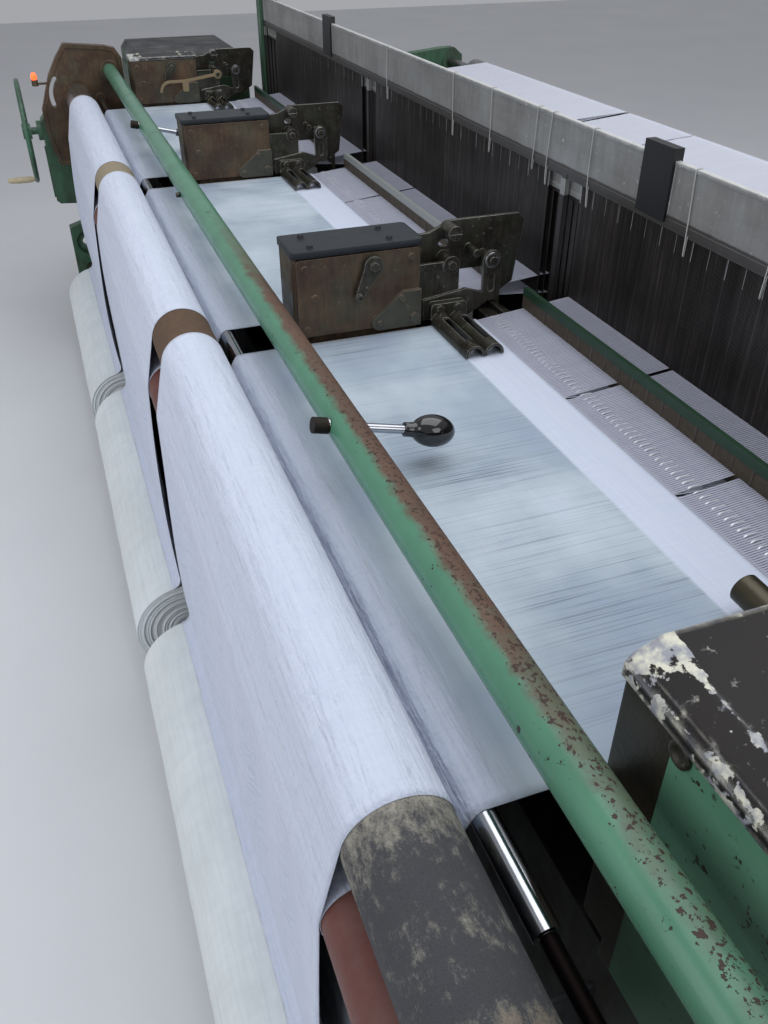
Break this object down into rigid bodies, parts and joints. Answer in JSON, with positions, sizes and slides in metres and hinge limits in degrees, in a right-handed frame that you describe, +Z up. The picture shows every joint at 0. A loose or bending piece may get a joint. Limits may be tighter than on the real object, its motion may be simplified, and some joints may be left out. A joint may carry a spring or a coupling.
{
  "type": "power loom",
  "caption": "Wide projectile power loom weaving several cloths side by side, with start tube, rollers, reeds, heald frames and warp beam.",
  "frame": {"origin": "on the floor, under the middle of the machine's box", "axes": "+X along the machine to the receiving end, -Y the cloth side, +Y the warp side, +Z up"},
  "size_m": [5.24, 2.3279, 1.3415],
  "materials": {
    "frame_green": "worn machine enamel",
    "tube_green": "glossy chipped enamel",
    "oily_brown": "oily brown casting",
    "dark_steel": "dark oiled steel",
    "bright_steel": "turned steel",
    "chrome": "polished bar",
    "emery": "emery covering",
    "red_rubber": "ground rubber",
    "cloth": "plain weave cotton",
    "warp": "cotton yarn",
    "heald_alu": "dull drawn rail",
    "reed_green": "dark green rib",
    "knob_black": "moulded knob",
    "grip_ivory": "turned grip",
    "beam_blue": "worn paint",
    "belt_rubber": "belt",
    "cover_grey": "dusty enamel"
  },
  "bodies": {
    "frame": {"side_frame_left": "frame_green", "side_frame_right": "frame_green", "main_girder": "frame_green", "rear_crossbeam": "frame_green", "end_bracket_left": "oily_brown", "end_bracket_right": "frame_green", "front_cover": "cover_grey", "cloth_support": "cover_grey", "breast_bar": "chrome", "fabric_right": "cloth", "fabric_middle": "cloth", "fabric_left": "cloth", "receiver_housing": "tube_green", "unit_b_box": "oily_brown", "unit_c_box": "oily_brown", "unit_d_box": "oily_brown", "unit_lids": "dark_steel", "unit_b_fittings": "dark_steel", "unit_c_fittings": "dark_steel", "unit_d_fittings": "dark_steel", "takeup_gearbox": "frame_green", "harness_posts": "frame_green", "warp_back_sheet": "warp", "stop_motion": "bright_steel", "letoff_gearbox": "frame_green", "picking_housing": "tube_green", "drive_belts": "belt_rubber", "motor": "beam_blue"},
    "takeup": {"takeup_roller": "emery"},
    "press": {"press_roller": "red_rubber"},
    "cloth_winder": {"cloth_shaft": "bright_steel", "cloth_roll_right": "cloth", "cloth_roll_middle": "cloth", "cloth_roll_left": "cloth"},
    "handwheel": {"handwheel": "tube_green", "handwheel_grip": "grip_ivory"},
    "start_bar": {"start_tube": "tube_green", "handle_rods": "bright_steel", "handle_knobs": "knob_black"},
    "sley": {"sley_shaft": "bright_steel", "sley_beam": "dark_steel", "guide_teeth": "bright_steel", "reeds": "reed_green"},
    "heald_front": {"heald_frame_1": "heald_alu"},
    "heald_rear": {"heald_frame_2": "heald_alu", "heald_frame_3": "heald_alu", "heald_frame_4": "heald_alu"},
    "upper_front": {"warp_upper_front": "warp"},
    "lower_front": {"warp_lower_front": "warp"},
    "upper_rear": {"warp_upper_rear": "warp"},
    "lower_rear": {"warp_lower_rear": "warp"},
    "back_rest": {"back_rest": "bright_steel"},
    "warp_beam": {"warp_beam": "beam_blue", "warp_pack": "warp", "beam_gear": "dark_steel"},
    "letoff_pinion": {"letoff_pinion": "dark_steel"},
    "main_shaft": {"brake_pulley": "dark_steel"},
    "motor_shaft": {"motor_pulley": "dark_steel"},
    "lever_b": {"unit_b_lever": "dark_steel"},
    "lever_d": {"unit_d_lever": "dark_steel"}
  },
  "joints": [
    {"name": "takeup_turn", "type": "hinge", "parent": "frame", "child": "takeup", "pos_m": [0, -0.802, 0.963], "axis": [1, 0, 0], "continuous": true},
    {"name": "press_turn", "type": "hinge", "parent": "frame", "child": "press", "pos_m": [0, -0.83313, 0.85791], "axis": [1, 0, 0], "continuous": true},
    {"name": "cloth_roll_turn", "type": "hinge", "parent": "frame", "child": "cloth_winder", "pos_m": [0, -0.883, 0.215], "axis": [1, 0, 0], "continuous": true},
    {"name": "handwheel_turn", "type": "hinge", "parent": "frame", "child": "handwheel", "pos_m": [-2.175, -1.039, 0.82], "axis": [0, 1, 0], "continuous": true},
    {"name": "start_bar_turn", "type": "hinge", "parent": "frame", "child": "start_bar", "pos_m": [0, -0.656, 1.054], "axis": [1, 0, 0], "range_deg": [-4, 20]},
    {"name": "sley_swing", "type": "hinge", "parent": "frame", "child": "sley", "pos_m": [0, -0.13, 0.74], "axis": [1, 0, 0], "range_deg": [0, 22.5]},
    {"name": "rear_heald_lift", "type": "slide", "parent": "frame", "child": "heald_rear", "axis": [0, 0, 1], "range_m": [0, 0.042]},
    {"name": "front_heald_drop", "type": "slide", "parent": "frame", "child": "heald_front", "axis": [0, 0, 1], "range_m": [-0.042, 0]},
    {"name": "upper_front_tilt", "type": "hinge", "parent": "frame", "child": "upper_front", "pos_m": [0, -0.219, 0.9635], "axis": [1, 0, 0], "range_deg": [-11.6, 0]},
    {"name": "lower_front_tilt", "type": "hinge", "parent": "frame", "child": "lower_front", "pos_m": [0, -0.219, 0.9635], "axis": [1, 0, 0], "range_deg": [0, 10.2]},
    {"name": "upper_rear_tilt", "type": "hinge", "parent": "frame", "child": "upper_rear", "pos_m": [0, 0.945, 1.0503], "axis": [1, 0, 0], "range_deg": [0, 2.7]},
    {"name": "lower_rear_tilt", "type": "hinge", "parent": "frame", "child": "lower_rear", "pos_m": [0, 0.945, 1.0503], "axis": [1, 0, 0], "range_deg": [-2.8, 0]},
    {"name": "back_rest_turn", "type": "hinge", "parent": "frame", "child": "back_rest", "pos_m": [0, 0.945, 0.999], "axis": [1, 0, 0], "continuous": true},
    {"name": "warp_beam_turn", "type": "hinge", "parent": "frame", "child": "warp_beam", "pos_m": [0, 0.764, 0.45], "axis": [1, 0, 0], "continuous": true},
    {"name": "letoff_turn", "type": "hinge", "parent": "frame", "child": "letoff_pinion", "pos_m": [0, 0.491, 0.45], "axis": [1, 0, 0], "continuous": true},
    {"name": "main_shaft_turn", "type": "hinge", "parent": "frame", "child": "main_shaft", "pos_m": [-2.56, -0.33, 0.6], "axis": [1, 0, 0], "continuous": true},
    {"name": "motor_turn", "type": "hinge", "parent": "frame", "child": "motor_shaft", "pos_m": [-2.56, 0.06, 0.23], "axis": [1, 0, 0], "continuous": true},
    {"name": "lever_b_turn", "type": "hinge", "parent": "frame", "child": "lever_b", "pos_m": [0.6535, -0.443, 1.104], "axis": [1, 0, 0], "range_deg": [-35, 35]},
    {"name": "lever_d_turn", "type": "hinge", "parent": "frame", "child": "lever_d", "pos_m": [-1.7465, -0.443, 1.104], "axis": [1, 0, 0], "range_deg": [-35, 35]}
  ],
  "couplings": [
    {"joint": "press_turn", "follows": "takeup_turn", "ratio": -1.1575},
    {"joint": "cloth_roll_turn", "follows": "takeup_turn", "ratio": 0.46741},
    {"joint": "handwheel_turn", "follows": "takeup_turn", "ratio": 12},
    {"joint": "front_heald_drop", "follows": "rear_heald_lift", "ratio": -1},
    {"joint": "upper_front_tilt", "follows": "rear_heald_lift", "rad_per_m": -4.7393},
    {"joint": "lower_front_tilt", "follows": "rear_heald_lift", "rad_per_m": 4.1736},
    {"joint": "upper_rear_tilt", "follows": "rear_heald_lift", "rad_per_m": 1.05},
    {"joint": "lower_rear_tilt", "follows": "rear_heald_lift", "rad_per_m": -1.087},
    {"joint": "back_rest_turn", "follows": "warp_beam_turn", "ratio": 5.9213},
    {"joint": "letoff_turn", "follows": "warp_beam_turn", "ratio": -3.3333},
    {"joint": "motor_turn", "follows": "main_shaft_turn", "ratio": 3.125}
  ]
}
